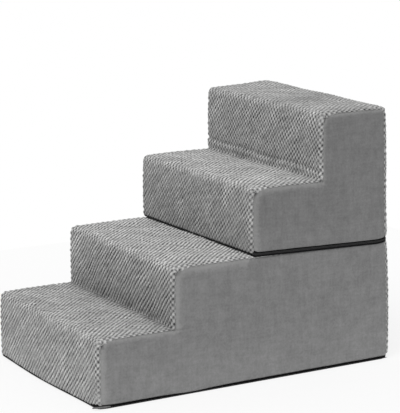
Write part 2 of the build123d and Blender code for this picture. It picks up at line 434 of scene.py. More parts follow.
def tube_mesh(name, tubes, material, values=None):
    """One smooth mesh of closed tubes, each given as rings of points, one ring after another.

    The rings' points run so that the faces look outwards, and both ends are capped.
    """
    points, quads, caps, first = [], [], [], 0
    for tube in tubes:
        rows, around = tube.shape[:2]
        index = first + np.arange(rows * around).reshape(rows, around)
        beside = np.roll(index, -1, axis=1)
        quads.append(np.stack([index[:-1], index[1:], beside[1:], beside[:-1]], -1).reshape(-1, 4))
        caps.append(np.stack([index[0], index[-1][::-1]]))
        points.append(tube.reshape(-1, 3))
        first += rows * around
    groups = [np.concatenate(quads), np.concatenate(caps)]
    return new_mesh(name, np.concatenate(points), groups, material, values)


def round_angles(count):
    """Even angles once round a ring."""
    return np.arange(count) * 2 * np.pi / count


def rings(plan, outward, away, height):
    """Rings of points along a path in plan, each point so far out from the path and at such a height."""
    return np.concatenate([plan[:, None] + outward[:, None] * away[..., None], height[..., None]], -1)


def squared_off(wave, power):
    """A cosine or sine that makes its circle squarer, by a power below 1."""
    return np.sign(wave) * np.abs(wave) ** power


def end_shrink(count, bluntness, margin=0.0):
    """A bar's size along its length, as a share: full, and rounded off to very little at both ends."""
    least = 0.02
    t = np.linspace(-1, 1, count)
    return np.sqrt(np.clip(1 + margin - np.abs(t) ** bluntness, least, 1))


def oval_rings(plan, outward, half_width, half_height, middle, shrink, around):
    """The rings of a bar along a path in plan: ellipses round a height, which shrink by a share."""
    angle = round_angles(around)
    away = half_width * np.cos(angle) * shrink[:, None]
    return rings(plan, outward, away, middle + half_height * np.sin(angle) * shrink[:, None])


def place_piece(made, section, replaced=None):
    """Puts a piece on its section's body, and hides the frame's piece that it replaces, if any."""
    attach(made, section.body)
    if replaced:
        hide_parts(f"{section.name}_{replaced}")


class Section:
    """Where one section's faces stand, read from the boxes of its pieces."""

    def __init__(self, name):
        cover_low, cover_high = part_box(f"{name}_tread_cover")
        riser_low, riser_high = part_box(f"{name}_riser_foam")
        pad_low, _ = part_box(f"{name}_tread_pad_front")
        side_low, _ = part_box(f"{name}_side_cover_right")
        base_low, base_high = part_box(f"{name}_base_panel")
        _, tape_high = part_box(f"{name}_zipper_tape_top")
        self.name = name
        self.body = f"{name}_section"
        self.half_width = cover_high[0]
        self.floor = base_low[2]
        self.base_top = base_high[2]
        self.front = cover_low[1] + riser_crown
        self.riser = riser_low[1] - riser_foam_setback
        self.tread = pad_low[2] + tread_pad_thickness
        self.top = riser_high[2] + tread_pad_thickness
        self.back_bottom = cover_high[1]
        self.back_top = self.back_bottom - back_lean[name]
        self.hem = side_low[2]
        self.zip_x = tape_high[0] - tape_thickness / 2
        self.zip_back = tape_high[1] - tape_thickness / 2
        self.tape_top = tape_high[2]

    def back(self, z):
        """The back face's place at a height."""
        share = (z - self.floor) / (self.top - self.floor)
        return self.back_bottom + (self.back_top - self.back_bottom) * share


lower, upper = Section("lower"), Section("upper")


def front_swell(x, z):
    """How far the first riser stands out low down, as foam does under load: most left of its middle."""
    middle = np.cos(np.pi * (x + front_bulge_left) / front_bulge_span) ** 2
    return (front_bulge * middle - corner_draw) * faded(z, lower.tread)


def back_flared(x, above):
    """How far the back of the upper section stands out low down on its right, over the hanging zip."""
    return back_flare * faded(above, back_flare_reach) ** 1.5 * ramp((x - back_flare_from) / back_flare_width)


def zip_sag(along):
    """How far the upper zip hangs below its place, by the way round from its right front corner.

    It grows evenly towards the back, and eases to nothing just past the right back corner.
    """
    turn = upper.back_bottom - upper.front - sag_before_corner
    return (sag_start + sag_slope * along) * (1 - ramp((along - turn) / sag_end))


def steps_outline(section):
    """The plush strip in the side view: from its front edge over both steps and down to the back hem."""
    s = section
    corners = [
        (s.front, s.floor + plush_bottom),
        (s.front, s.tread),
        (s.riser, s.tread),
        (s.riser, s.top),
        (s.back_top, s.top),
        (s.back(s.hem), s.hem),
    ]
    radii = [nosing_radius, inner_corner_radius, nosing_radius, nosing_radius]
    return rounded_path(corners, radii, cell_along / steps_per_cell)


def nosing_growth(path):
    """How much farther the plush wraps round the sides at its convex bends: most just behind each nosing."""
    total = 0 * path.along
    for i in (0, 2, 3):
        past = path.along - path.arcs[i]
        growth = nosing_wrap * np.exp(-(past / nosing_reach) ** 4)
        if i < 3:
            behind = (nosing_wrap + nosing_slope * past) * ramp(1 - (past - nosing_reach) / nosing_run)
            growth = np.where(past > 0, behind, growth)
        total = total + growth
    return total


def wrapped_across(section, path, upward):
    """Across the strip: flat, then a quarter ellipse round the side edge, then a small arc into the seam.

    Gives the distance across the cloth, x, how far inwards each place lies, and how far the cloth has turned.
    """
    flat = section.half_width - wrap_width
    wrap_length = np.pi / 2 * (wrap_width + riser_wrap) / 2
    reach = flat + wrap_length + tuck_radius * tuck_turn
    across = np.linspace(-reach, reach, 2 * int(round(reach / (cell_across / steps_per_cell))) + 1)
    over = np.clip(np.abs(across) - flat, 0, None)
    turn = grown(over, wrap_length) * np.pi / 2
    tuck = np.clip(over - wrap_length, 0, None) / tuck_radius
    x = np.minimum(np.abs(across), flat) + wrap_width * np.sin(turn) - tuck_radius * (1 - np.cos(tuck))
    depth = riser_wrap + (tread_wrap - riser_wrap) * upward ** 2 + nosing_growth(path)[:, None]
    inward = depth * path.miter[:, None] * (1 - np.cos(turn)) + tuck_radius * np.sin(tuck)
    return across, np.sign(across) * x, inward, turn + tuck


def bubbles(across, along):
    """Height of the embossed bubbles, from 0 in the pits to 1 on top, for places counted in cells.

    Two crossed waves give rows of bubbles, each row half a cell along from the last: rounded domes where
    both waves are high, and pits where four bubbles meet.
    """
    wave = np.cos(2 * np.pi * across) * np.cos(2 * np.pi * along)
    return (0.5 + 0.5 * wave) ** bubble_fullness


def cloth_places(section, u, v):
    """Where each place lies on the embossed cloth, counted in cells: a little sheared, with slow waves."""
    across = u + sum(ripple(u, v, *wave) for wave in stray_across)
    across = across + cloth_shear[section.name] * (v - v[-1, 0] / 3)
    along = v + sum(ripple(u, v, *wave) for wave in stray_along)
    return across / cell_across, along / cell_along


def crowned(path, middle, upward, pressed):
    """How far the faces are crowned: arched down each face, less near the sides, and not where pressed."""
    bulge = path.bulge[:, None]
    crown = np.where(upward ** 2 > 0.5, tread_crown, riser_crown) * bulge
    crown = crown * (edge_crown_share + (1 - edge_crown_share) * middle)
    crown = np.where(path.along[:, None] > path.arcs[3], back_crown * bulge, crown)
    return np.where(pressed > 0.5, 0.0, crown)


def foot_fold(x, above):
    """The crease across the foot of the last riser, where the cloth sags: a groove with a roll under it."""
    place = above - fold_height + fold_slope * x + ripple(x, 0 * x, *fold_wave)
    crease = np.exp(-(place / fold_width) ** 2)
    roll = np.exp(-((place / fold_width + fold_roll_below) / fold_roll_width) ** 2)
    return fold_depth * (fold_roll_share * roll - crease)


def foam_push(section, path, x, u, v, upward, edge):
    """What else pushes the plush out: the bulge low on the first riser, or the last tread's raised left back
    corner, the fold at the last riser's foot and the flare of the back."""
    arcs = path.arcs
    if section.name == "lower":
        return front_swell(x, path.points[:, 1:]) * (v < arcs[0])
    leftward = 0.5 - 0.5 * x / section.half_width
    ridge = np.exp(-((v - arcs[3]) / top_rise_reach) ** 2) * (v > arcs[2])
    fold = foot_fold(u, v - arcs[1]) * ((v > arcs[1]) & (v < arcs[2]))
    flare = back_flared(x, path.along[-1] - v) * (v > arcs[3])
    return top_rise * leftward * ridge * upward + fold * edge + flare


def free_end_lift(section, path, x):
    """How far the strip's ends move up: the lower one's right front corner, less what the upper hem sags."""
    if section.name == "lower":
        lift = corner_lift * ramp((x - corner_lift_from) / corner_lift_width)
        return lift * faded(path.along, corner_lift_height)[:, None]
    way_round = section.back_bottom - section.front + section.half_width - x
    return -zip_sag(way_round) * faded(path.along[-1] - path.along, hem_reach)[:, None]


def by_face(along, arcs, values):
    """One value for each face down the plush, which changes evenly over the arcs between the faces."""
    places = np.ravel([(arc - face_blend, arc + face_blend) for arc in arcs])
    return np.interp(along, places, np.repeat(values, 2)[1:-1])


def near_nosing(along, arcs):
    """How near the two nosings a place down the plush is: bell curves of 1 on them."""
    return sum(np.exp(-((along - arcs[i]) / nosing_fade) ** 2) for i in (0, 2))


def nap_brushed(section, arcs, u, v):
    """How far the nap is brushed open, as soft round patches."""
    starts = [0.0, *arcs]
    total = 0 * u
    for face, x, beyond, half_x, half_v, amount in brushed[section.name]:
        away = v - starts[face] - beyond
        total = total + amount * np.exp(-((u - x) / half_x) ** 2 - (away / half_v) ** 2)
    return total


def wave_strength(section, way, arcs, u, v, from_seam):
    """How strongly one of the two crossed waves shows: by face, with slow changes and brushed patches, and
    both waves alike along the side seams."""
    strength = by_face(v, arcs, wave_by_face[way][section.name]) * (1 + ripple(u, v, *strength_wave[way]))
    strength = strength + (seam_wave - strength) * ramp(1 - from_seam / seam_wave_reach)
    return strength + brushed_wave * nap_brushed(section, arcs, u, v)


def plush_tone(section, arcs, u, v):
    """How light the plush is, where 1 is its own colour.

    Painted shade darkens it at the inner corners and where the upper section stands on the lower one, and
    painted light brightens it at the foot of the last riser, over the nosings and on the left of the lower
    section's second riser. Each face has its own painted light, and it is paler where the nap is brushed
    open.
    """
    name = section.name
    after = v - arcs[1]
    # Painted shade at the inner corners and where the upper section stands, and painted highlight over the
    # nosings
    tone = 1 - tread_foot_shade[name] * np.exp(after / tread_foot_reach) * (after < 0)
    tone = tone - riser_foot_shade[name] * np.exp(-after / riser_foot_reach) * (after > 0)
    tone = tone - hem_foot_shadow[name] * np.exp(-v / riser_foot_reach) + nosing_highlight * near_nosing(v, arcs)
    # Each face's own painted light, and paler where the nap is brushed open
    tone = tone * by_face(v, arcs, face_light[name]) * (1 + brushed_pale * nap_brushed(section, arcs, u, v))
    # Painted light on the left of the lower section's second riser
    if name == "lower":
        on_riser = ramp(after / left_pale_foot) * ramp((arcs[2] - v) / left_pale_top)
        tone = tone * (1 + riser_left_light * on_riser * grown(-u, section.half_width) ** 3)
    return tone


def tread_strip(section, material):
    """The bubble plush from the front edge up over both steps and down the back, wrapped round both sides.

    A grid of the distance across and the distance along. It follows the outline down its length, and the
    crowns, the foam, slow waves and the bubbles push it out from there, along the turned cloth's normal.
    """
    s = section
    path = steps_outline(s)
    arcs = path.arcs
    upward = np.clip(path.normals[:, 1:], 0, 1)
    across, x, inward, turned = wrapped_across(s, path, upward)
    u, v = np.meshgrid(across, path.along)
    from_seam = across[-1] - np.abs(u)
    edge = grown(from_seam, seam_fade)
    pressed = upward * ((s.name == "lower") & (path.points[:, :1] > upper.front))
    middle = 1 - (x / s.half_width) ** 2
    slow = ripple(u, v, *plush_wave) * np.clip(middle * 3, 0, 1) * (1 - pressed)
    from_end = np.minimum(path.along, path.along[-1] - path.along)
    roll = cut_edge_drop * (1 - quarter_round(from_end, cut_edge_roll))[:, None]
    out = crowned(path, middle, upward, pressed) + slow - roll - inward
    out = out + foam_push(s, path, x, u, v, upward, edge)
    cloth_u, cloth_v = cloth_places(s, u, v)
    rise = (bubbles(cloth_u, cloth_v) * (1 + ripple(u, v, *bubble_wave)) - 0.5) * bubble_height
    rise = rise * (seam_relief + (1 - seam_relief) * edge) * (1 - (1 - pressed_share) * pressed)
    y, z = (path.points[:, [i]] + path.normals[:, [i]] * (out + np.cos(turned) * rise) for i in (0, 1))
    grid = [x + np.sign(x) * np.sin(turned) * rise, y, z + free_end_lift(s, path, x)]
    values = {
        # Painted shade along the seams where the plush tucks in, stronger at the nosings
        "seam": (1 - edge) * (1 + seam_shade_at_nosings * near_nosing(v, arcs)),
        "tone": plush_tone(s, arcs, u, v),
        "rising": wave_strength(s, "rising", arcs, u, v, from_seam),
        "falling": wave_strength(s, "falling", arcs, u, v, from_seam),
    }
    cloth = np.stack([cloth_u, cloth_v], -1)
    made = grid_mesh(f"{s.name}_plush_strip", np.stack(grid, -1), material, values, uv=cloth)
    place_piece(made, s, "tread_cover")


def level_hem(section):
    """A hem that keeps its height."""
    return lambda y: section.hem + 0 * y


def lower_right_hem(y):
    """The height of the lower right panel's hem: nearly on the floor, and lifted at the front corner."""
    dip = hem_dip * np.exp(-((y - hem_dip_y) / hem_dip_width) ** 2)
    return hem_height - dip + hem_rise * np.exp(-(y - lower.front) / hem_rise_reach)


def upper_right_hem(y):
    """The height of the upper right panel's hem, which sags with the zip."""
    return upper.hem - zip_sag(y - upper.front)


def panel_grid(section, side, hem):
    """A side panel in the side view: an L of two blocks on one grid of lines, which crowd near the seams.

    The crowns of the steps push its edges out, which fades inwards, and its lower edge follows the hem. Gives
    y and z, which cells have a face, how far inside each edge a place is, its height over the hem, and how
    deep it is inside the whole outline, whose convex corners are round.
    """
    s = section
    front, riser = (y + riser_wrap - panel_under_strip for y in (s.front, s.riser))
    tread, top = (z - tread_wrap + panel_under_strip for z in (s.tread, s.top))
    back = s.back_bottom - riser_wrap + panel_under_strip
    rear_columns = front_columns + int((back - riser) / rear_column_step)
    columns = np.concatenate([graded(front, riser, front_columns), graded(riser, back, rear_columns)[1:]])
    rows = np.concatenate([graded(s.hem, tread, rows_below_tread), graded(tread, top, rows_above_tread)[1:]])
    y, z = np.meshgrid(columns, rows)
    on_front = np.arange(len(columns)) < front_columns
    above_tread = np.arange(1, len(rows)) >= rows_below_tread
    back = back + s.back(z) - s.back_bottom
    y = np.where(on_front, y, riser + (y - riser) * (back - riser) / (columns[-1] - riser))

    front_line = -riser_crown * edge_crown_share * arched(z, s.floor, s.tread)
    riser_line = -riser_crown * edge_crown_share * arched(z, s.tread, s.top)
    tread_line = tread_crown * edge_crown_share * arched(y, s.front, s.riser)
    back_line = back_crown * arched(z, s.floor, s.top)
    top_line = 0 * y
    if s.name == "lower":
        front_line = front_line - front_swell(side * s.half_width, z)
    else:
        back_line = back_line + back_flared(side * s.half_width, z - s.hem)
        leftward = side < 0
        top_line = tread_crown * edge_crown_share * arched(y, s.riser, s.back_top)
        top_line = top_line + top_rise * leftward * np.exp(-((y - s.back_top) / top_rise_reach) ** 2)
    y = y + front_line * faded(y - front, panel_edge_reach)
    y = y + riser_line * faded(np.abs(y - riser), panel_edge_reach) * (z > tread)
    y = y + back_line * faded(back - y, panel_edge_reach)
    front_push = tread_line * faded(tread - z, panel_edge_reach)
    z = z + np.where(on_front, front_push, top_line * faded(top - z, panel_edge_reach))
    z = z + (hem(y) - s.hem) * faded(z - s.hem, hem_reach)

    panel = SimpleNamespace(y=y, z=z, riser=riser, tread=tread, on_front=on_front)
    panel.keep = ~(above_tread[:, None] & on_front[1:])
    panel.from_front = y - front - front_line
    panel.from_riser = y - riser - riser_line
    panel.from_tread = tread + tread_line - z
    panel.from_top = top + top_line - z
    panel.from_hem = z - hem(y)
    step_in = round_least(panel.from_front, panel.from_tread, corner_round)
    block_in = round_least(panel.from_riser, panel.from_top, corner_round)
    panel.inside = round_least(np.maximum(step_in, block_in), back + back_line - y, back_round)
    panel.inside = np.clip(panel.inside, 0, None)
    return panel


def groove(y, z, start, heading, length, width):
    """A crease's depth, from 0 to 1: deepest at its start, dying away along its heading and to both sides."""
    along = (y - start[0]) * math.cos(heading) + (z - start[1]) * math.sin(heading)
    aside = -(y - start[0]) * math.sin(heading) + (z - start[1]) * math.cos(heading)
    return faded(along, length) * faded(-along, width) * np.exp(-(aside / width) ** 2)


def panel_height(panel, side, flare, creases):
    """How far the panel stands out over its seam: a quarter circle of the depth inside its outline, a slow
    puff, the hem's flare and seeded waves, less creases with a ridge below each."""
    y, z, inside, up = panel.y, panel.z, panel.inside, panel.from_hem
    roll = 1 - (1 - quarter_round(up, hem_radius)) * (flared_roll if flare else 1.0)
    height = panel_rise * quarter_round(inside, rim_radius) * roll
    height = height + panel_puff * np.sqrt(grown(inside, puff_from_seam) * grown(up, puff_from_hem))
    height = height + flare * ramp(1 - up / flare_height) * ramp(inside / flare_from_seam)
    for wave, length, seed, full_from in panel_waves:
        height = height + ripple(y, z, wave, length, seed + (side > 0)) * grown(inside, full_from)
    for (beyond, above), heading, length, width, depth in creases:
        crease = (panel.riser + beyond, panel.tread + above)
        ridge = (crease[0], crease[1] - ridge_below * width)
        height = height - depth * groove(y, z, crease, heading, length, width)
        height = height + ridge_share * depth * groove(y, z, ridge, heading, length, width)
    return height


def panel_paint(section, panel):
    """The panel's point values: a pale rim along the steps as painted highlight, painted light low down,
    and painted shade at the nosings, where the seam pinches, and over the upper section's panels.

    The rim is full over a plateau and then fades with the distance from the steps' edges, counted in its own
    width there. It ends where the upper section stands on the lower one.
    """
    name = section.name
    y, z, on_front = panel.y, panel.z, panel.on_front
    front_riser_rim, rear_riser_rim = riser_rim[name]
    front_tread_rim, rear_tread_rim = tread_rim[name]
    above = z > panel.tread
    behind = np.abs(np.where(above, panel.from_riser / rear_riser_rim, panel.from_front / front_riser_rim))
    covered = rim_end * ramp((y - upper.front) / rim_end_fade + 0.5) * (name == "lower")
    under = np.where(on_front, panel.from_tread / front_tread_rim, panel.from_top / rear_tread_rim + covered)
    from_rim = round_least(behind, under, np.where(on_front, *rim_corner[name]))
    from_inner_corner = np.hypot(panel.from_riser / rear_riser_rim, (panel.tread - z) / front_tread_rim)
    from_rim = np.where(above | on_front, from_rim, np.minimum(from_rim, from_inner_corner))
    pale = np.clip(1 + rim_plateau - from_rim, 0, 1)
    front_nosing = np.hypot(panel.from_front, panel.from_tread)
    from_nosing = np.minimum(front_nosing, np.hypot(panel.from_riser, panel.from_top))
    # Painted shade where the seam pinches at the nosings
    pinch = pinch_shade * np.exp(-(panel.inside / pinch_width) ** 2 - (from_nosing / pinch_reach) ** 4)
    pinch = pinch * np.clip(pinch_level + ripple(y, z, *pinch_wave), 0, 1)
    # Painted shade on the upper panels, and painted light low down from the floor's bounce
    tone = panel_shade[name] * (1 + panel_low_light[name] * faded(panel.from_hem, low_pale_reach))
    return {"rim": pale * (1 - pinch), "tone": tone * (1 - pinch)}


def side_panel(section, side, hem, flare, material):
    """A velour side panel, whose edges lie under the plush strip.

    A grid in the side view that stands out sideways. hem gives the height of its lower edge along y, and
    flare is how far that edge stands out, where it hangs over the zip.
    """
    s = section
    hand = "right" if side > 0 else "left"
    panel = panel_grid(s, side, hem)
    height = panel_height(panel, side, flare, panel_creases[s.name])
    grid = np.stack([side * (s.half_width - panel_seam_depth + height), panel.y, panel.z], -1)
    values = panel_paint(s, panel)
    made = grid_mesh(f"{s.name}_velour_panel_{hand}", grid, material, values, panel.keep, flip=side < 0)
    place_piece(made, s, f"side_cover_{hand}")


def zip_line(section, start, end, step):
    """The zip's path, from the right front round the back to the left front, on the tape's middle.

    Gives its places in plan, its outward directions, the way round from the section's right front, how far
    the band hangs down there and stands out, and how far the hanging has closed its two halves. These last
    three are zero on the lower section.
    """
    s = section
    corners = [(s.zip_x, start), (s.zip_x, s.zip_back), (-s.zip_x, s.zip_back), (-s.zip_x, end)]
    path = rounded_path(corners, [zip_corner, zip_corner], step)
    along = path.along + start - s.front
    drop, out = 0 * along, 0 * along
    if s.name == "upper":
        turn = s.zip_back - s.front - zip_corner
        on_back = ramp((along - turn) / hang_turn)
        drop = zip_sag(along)
        bent = grown(drop, zip_sag(turn)) ** hang_bend
        out = side_hang_out * (1 - on_back) + back_hang_out * on_back * bent
        out = out * ramp(along / hang_start)
    line = SimpleNamespace(plan=path.points, outward=-path.normals, along=along, drop=drop, out=out)
    line.closed = ramp(drop / closing_drop)
    return line


def zip_coil(section, material):
    """Both halves of the nylon coil: tubes along the zip whose radius swells once a turn.

    Each tube is an ellipse carried along the path. Its swelling leans round the tube, as a coil's turns do.
    """
    s = section
    low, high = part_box(f"{s.name}_zipper_coil")
    start = low[1] if s.name == "lower" else s.front + coil_setback
    line = zip_line(s, start, low[1], coil_pitch / coil_along)
    angle = round_angles(coil_around)
    turns = 2 * np.pi * line.along[:, None] / coil_pitch
    halves = []
    for side, middle in ((1, high[2] - coil_half_height), (-1, low[2] + coil_half_height)):
        swell = 1 - coil_turn_share + coil_turn_share * np.cos(turns + side * angle)
        away = coil_half_width * np.cos(angle) * swell + line.out[:, None]
        down = line.drop + side * coil_closing * line.closed
        height = middle - down[:, None] + coil_half_height * np.sin(angle) * swell
        halves.append(rings(line.plan, line.outward, away, height))
    made = tube_mesh(f"{s.name}_wound_coil", halves, material)
    place_piece(made, s, "zipper_coil")


def hung_tape(section, edge, material):
    """One of the upper section's zip tapes, which hangs down and out with the zip on the right.

    A squared-off ellipse carried along the zip. Where it hangs, its coil edge reaches the zip's middle,
    because the closed coil hides it there, and the top tape's other edge stays in its place behind the panel.
    """
    s = section
    low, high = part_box(f"{s.name}_zipper_tape_{edge}")
    coil_low, coil_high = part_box(f"{s.name}_zipper_coil")
    middle = (coil_low[2] + coil_high[2]) / 2
    line = zip_line(s, s.front + tape_setback, low[1], tape_step)
    closed = line.closed[:, None]
    bottom = low[2] + (middle - low[2]) * closed * (edge == "top")
    top = high[2] + (middle - high[2]) * closed * (edge == "base")
    angle = round_angles(16)
    thick = 0.5 * tape_thickness * squared_off(np.cos(angle), tape_side_power)
    share = 0.5 + 0.5 * squared_off(np.sin(angle), tape_edge_power)
    height = bottom + (top - bottom) * share
    hung = grown(s.tape_top - height, s.tape_top - s.hem)
    away = line.out[:, None] * hung + thick
    grid = rings(line.plan, line.outward, away, height - line.drop[:, None] * hung)
    made = tube_mesh(f"{s.name}_hung_tape_{edge}", [grid], material)
    place_piece(made, s, f"zipper_tape_{edge}")


def zip_lining(section, material):
    """The black lining glued on the foam behind the zip and round the front corners, so that no foam shows.

    A thin band with square corners that follows the foam's recess in plan.
    """
    s = section
    foam_low, foam_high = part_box(f"{s.name}_base_foam")
    x, back = (place - zip_room + lining_back_gap for place in (s.zip_x, s.zip_back))
    front = foam_low[1] - lining_front_gap
    wide = foam_high[0] + lining_gap
    step = s.front + foam_step + lining_gap
    half = [(wide - lining_wrap, front), (wide, front), (wide, step), (x, step), (x, back)]
    half_out = [(0, -1), (1, -1), (1, 1), (1, 1), (1, 1)]
    plan = np.array(half + [(-a, b) for a, b in half[::-1]])
    outward = np.array(half_out + [(-a, b) for a, b in half_out[::-1]])
    low, top = s.base_top + lining_inset, s.tape_top - lining_inset
    away = np.tile([lining_thickness, lining_thickness, 0.0, 0.0], (len(plan), 1))
    height = np.tile([low, top, top, low], (len(plan), 1))
    made = tube_mesh(f"{s.name}_zip_lining", [rings(plan, outward, away, height)], material)
    place_piece(made, s)


def corner_tab(section, material):
    """The loose end of the cover's hem that lies out at the lower front right corner: a small rounded bar.

    An ellipse carried along its route, which shrinks at both ends.
    """
    s = section
    steps = 25
    t = np.linspace(0, len(tab_route) - 1, steps)
    middle = np.stack([np.interp(t, np.arange(len(tab_route)), tab_route[:, i]) for i in range(3)], -1)
    middle += np.array([s.half_width, s.front, s.floor])
    shrink = end_shrink(steps, bluntness=6)
    way = np.gradient(middle[:, :2], axis=0)
    way /= np.linalg.norm(way, axis=1)[:, None]
    outward = np.stack([way[:, 1], -way[:, 0]], -1)
    plan, height = middle[:, :2], middle[:, 2:]
    bar = oval_rings(plan, outward, tab_half_width, tab_half_height, height, shrink, around=10)
    made = tube_mesh(f"{s.name}_corner_tab", [bar], material, {"tone": 0.7, "rim": 0.0})
    place_piece(made, s)


def base_binding(section, material):
    """The black edge of the grip base where it shows under the plush: flattened round bars.

    An ellipse carried across the width along the front's bulge, which shrinks to nothing at both ends, and
    on the lower section one along each side too.
    """
    s = section

    def bar(plan, outward, half_width, half_height, middle):
        shrink = end_shrink(len(plan), bluntness=40, margin=0.02)
        return oval_rings(plan, np.array([outward]), half_width, half_height, middle, shrink, around=12)

    half_thickness = binding_thickness[s.name] / 2
    x = (s.half_width - binding_end) * np.linspace(-1, 1, 61)
    front = s.front - front_swell(x, 0.0) * (s.name == "lower")
    plan = np.stack([x, front + binding_setback], -1)
    middle = s.floor + binding_clearance + half_thickness
    bars = [bar(plan, (0, -1), binding_half_width, half_thickness, middle)]
    if s.name == "lower":
        y = np.linspace(s.front + side_binding_end, s.back_bottom - side_binding_end, 41)
        for side in (-1, 1):
            plan = np.stack([0 * y + side * (s.half_width - side_binding_inset), y], -1)
            bars.append(bar(plan, (1, 0), *side_binding, s.floor + side_binding_height))
    made = tube_mesh(f"{s.name}_base_binding", bars, material)
    place_piece(made, s)


def linear(code):
    """An sRGB hex colour as linear values."""
    shares = [int(code[i:i + 2], 16) / 255 for i in (1, 3, 5)]
    return (*[c / 12.92 if c <= 0.04045 else ((c + 0.055) / 1.055) ** 2.4 for c in shares], 1.0)


def add_node(tree, kind, *values, named=None, out=0, **settings):
    """Adds one shader node, with its settings, and gives one of its outputs.

    The values fill its first inputs in order, and named fills others. Another node's output is linked.
    """
    made = tree.nodes.new(f"ShaderNode{kind}")
    for key, value in settings.items():
        setattr(made, key, value)
    for key, value in [*enumerate(values), *(named or {}).items()]:
        if isinstance(value, bpy.types.NodeSocket):
            tree.links.new(value, made.inputs[key])
        else:
            made.inputs[key].default_value = value
    return made.outputs[out] if made.outputs else None


def node_maker(owner):
    """What adds nodes to a new material or world, once its tree is empty."""
    owner.use_nodes = True
    owner.node_tree.nodes.clear()
    return partial(add_node, owner.node_tree)


# What a noise mostly stays within, and the settings of nodes that add, multiply or mix two colours
noise_range = (0.3, 0.7)
plus = {"operation": "ADD"}
times = {"operation": "MULTIPLY"}
colour_mix = {"data_type": "RGBA", "out": 2}


def grain(node, size, detail=2.0, roughness=0.5, stretch=(1.0, 1.0, 1.0)):
    """Noise in object space whose grains are about this size, in metres."""
    place = node("TexCoord", out="Object")
    mapped = node("Mapping", place, named={"Scale": stretch})
    scales = {"Scale": 1 / size, "Detail": detail, "Roughness": roughness}
    return node("TexNoise", mapped, named=scales)


def streaks(node, length, width, low, high, detail=2.0):
    """Noise on the plush, from low to high, in slanting streaks whose size is counted in bubbles."""
    place = node("UVMap", uv_map="cloth")
    turned = {"Rotation": (0, 0, math.radians(40)), "Scale": (length, width, 1)}
    mapped = node("Mapping", place, named=turned, vector_type="TEXTURE")
    noise = node("TexNoise", mapped, named={"Scale": 1.0, "Detail": detail})
    return node("MapRange", noise, *noise_range, low, high)


def skin(node, colour, relief, finish):
    """Puts a colour, a relief as bump and a finish on the material's shader."""
    bump = node("Bump", named=relief)
    shader = node("BsdfPrincipled", colour, named={**finish, "Normal": bump})
    node("OutputMaterial", shader)


def bubble_plush():
    """Short polyester plush, embossed: pale bubbles and dark pits, whose colour is painted light and painted
    shade over the relief, crisp where its nap stands and faint where it is brushed flat, with slanting pale
    and dull streaks, a fine sparkle of fibres and painted shade along the seams.

    The fibres are far finer than a pixel, so they are drawn as tufts that are large enough to show.
    """
    fibre, tuft, patch = 0.8 * mm, 2.4 * mm, 6.0 * mm
    material = bpy.data.materials.new("embossed_polyester_plush")
    node = node_maker(material)
    cloth = node("UVMap", uv_map="cloth")
    u = node("SeparateXYZ", cloth, out="X")
    v = node("SeparateXYZ", cloth, out="Y")
    waves = []
    for way, name in (("ADD", "rising"), ("SUBTRACT", "falling")):
        turns = node("Math", u, v, operation=way)
        angle = node("Math", turns, 2 * math.pi, **times)
        wave = node("Math", angle, operation="COSINE")
        strength = node("Attribute", attribute_name=name, out="Fac")
        waves.append(node("Math", wave, strength, **times))
    lattice = node("Math", *waves, **plus)
    lattice = node("Math", lattice, 0.5, **times)
    lattice = node("Math", lattice, streaks(node, 3.5, 1.8, 0.5, 1.45), **times)
    fluff = node("MapRange", grain(node, tuft, 2, 0.6), *noise_range, -0.4, 0.4)
    height = node("Math", lattice, fluff, **plus)
    height = node("MapRange", height, -0.95, 0.8)
    # The dark pits are painted shade and the pale bubbles painted light, over the real relief
    shades = {6: linear("#3e3e3f"), 7: linear("#c6c6c5")}
    colour = node("Mix", height, named=shades, **colour_mix)
    # The tone attribute carries the painted light and shade, and the streaks are the nap's own tone
    shade = node("Attribute", attribute_name="tone", out="Fac")
    for factor in (streaks(node, 6.0, 3.0, 0.84, 1.17, 3.0), streaks(node, 1.5, 0.9, 0.83, 1.2)):
        shade = node("Math", shade, factor, **times)
    colour = node("Mix", 1.0, named={6: colour, 7: shade}, blend_type="MULTIPLY", **colour_mix)
    # Painted shade along the seams, uneven in patches
    seam = node("Attribute", attribute_name="seam", out="Fac")
    uneven = node("MapRange", grain(node, patch), *noise_range, 0.05, 0.45)
    dark = node("Math", seam, uneven, **times)
    colour = node("Mix", dark, named={6: colour, 7: linear("#343435")}, **colour_mix)
    relief = {"Height": grain(node, fibre, 3, 0.7), "Strength": 0.55, "Distance": 0.5 * mm}
    finish = {"Roughness": 0.92, "Specular IOR Level": 0.25, "Sheen Weight": 0.15, "Sheen Roughness": 0.45}
    skin(node, colour, relief, finish)
    return material


